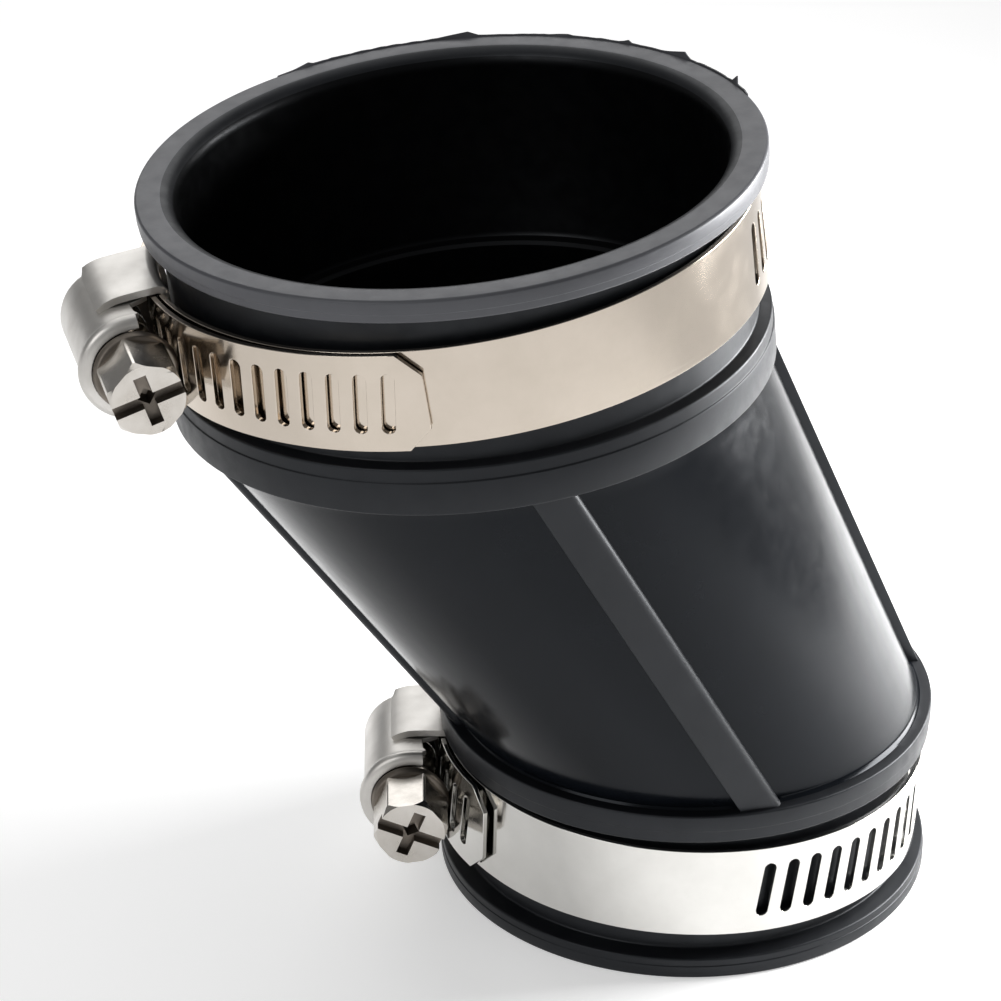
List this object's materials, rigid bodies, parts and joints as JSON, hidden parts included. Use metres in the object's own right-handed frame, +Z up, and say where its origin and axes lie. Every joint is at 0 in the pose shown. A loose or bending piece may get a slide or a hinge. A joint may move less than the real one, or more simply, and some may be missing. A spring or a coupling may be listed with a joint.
{
  "type": "pipe coupling",
  "caption": "Flexible black elastomer coupling that joins a larger pipe to a smaller one set to the side, with a stainless worm-drive hose clamp round each cuff.",
  "frame": {"origin": "middle of the whole object's footprint, on the plane of the lower cuff's end face", "axes": "+Z up the lower cuff's axis towards the upper cuff, +X from the upper cuff towards the lower one's offset side, -Y the front with the screw heads"},
  "size_m": [0.106, 0.0728, 0.1014],
  "materials": {
    "elastomer": "satin black moulded elastomer, glossier on the barrel",
    "upper_band_steel": "polished stainless strip",
    "upper_housing_steel": "satin pressed stainless",
    "upper_screw_steel": "bright plated screw",
    "lower_band_steel": "polished stainless strip",
    "lower_housing_steel": "satin pressed stainless",
    "lower_screw_steel": "bright plated screw"
  },
  "bodies": {
    "coupling": {"coupling_body": "elastomer"},
    "upper_clamp": {"upper_band_loop": "upper_band_steel", "upper_clamp_housing": "upper_housing_steel"},
    "upper_screw": {"upper_worm_screw": "upper_screw_steel"},
    "upper_tail": {"upper_band_tail": "upper_band_steel"},
    "lower_clamp": {"lower_band_loop": "lower_band_steel", "lower_clamp_housing": "lower_housing_steel"},
    "lower_screw": {"lower_worm_screw": "lower_screw_steel"},
    "lower_tail": {"lower_band_tail": "lower_band_steel"}
  },
  "joints": [
    {"name": "upper_clamp_turn", "type": "hinge", "parent": "coupling", "child": "upper_clamp", "pos_m": [-0.00641, 0, 0.08621], "axis": [-0.1457, 0.0071, 0.9893], "continuous": true},
    {"name": "upper_screw_turn", "type": "hinge", "parent": "upper_clamp", "child": "upper_screw", "pos_m": [-0.04664, -0.00036, 0.08028], "axis": [-0.0078, 0.9999, -0.0083], "range_deg": [-570, 570]},
    {"name": "upper_tail_slide", "type": "hinge", "parent": "upper_clamp", "child": "upper_tail", "pos_m": [-0.00641, 0, 0.08621], "axis": [-0.1457, 0.0071, 0.9893], "range_deg": [-7.78, 7.78]},
    {"name": "lower_clamp_turn", "type": "hinge", "parent": "coupling", "child": "lower_clamp", "pos_m": [0.02215, 0, 0.0111], "axis": [0.0337, 0.011, 0.9994], "continuous": true},
    {"name": "lower_screw_turn", "type": "hinge", "parent": "lower_clamp", "child": "lower_screw", "pos_m": [-0.01173, 0.00814, 0.01215], "axis": [0.2331, 0.9723, -0.0185], "range_deg": [-570, 570]},
    {"name": "lower_tail_slide", "type": "hinge", "parent": "lower_clamp", "child": "lower_tail", "pos_m": [0.02215, 0, 0.0111], "axis": [0.0337, 0.011, 0.9994], "range_deg": [-9.18, 9.18]}
  ],
  "couplings": [
    {"joint": "upper_tail_slide", "follows": "upper_screw_turn", "ratio": 0.013569},
    {"joint": "lower_tail_slide", "follows": "lower_screw_turn", "ratio": 0.016023}
  ]
}
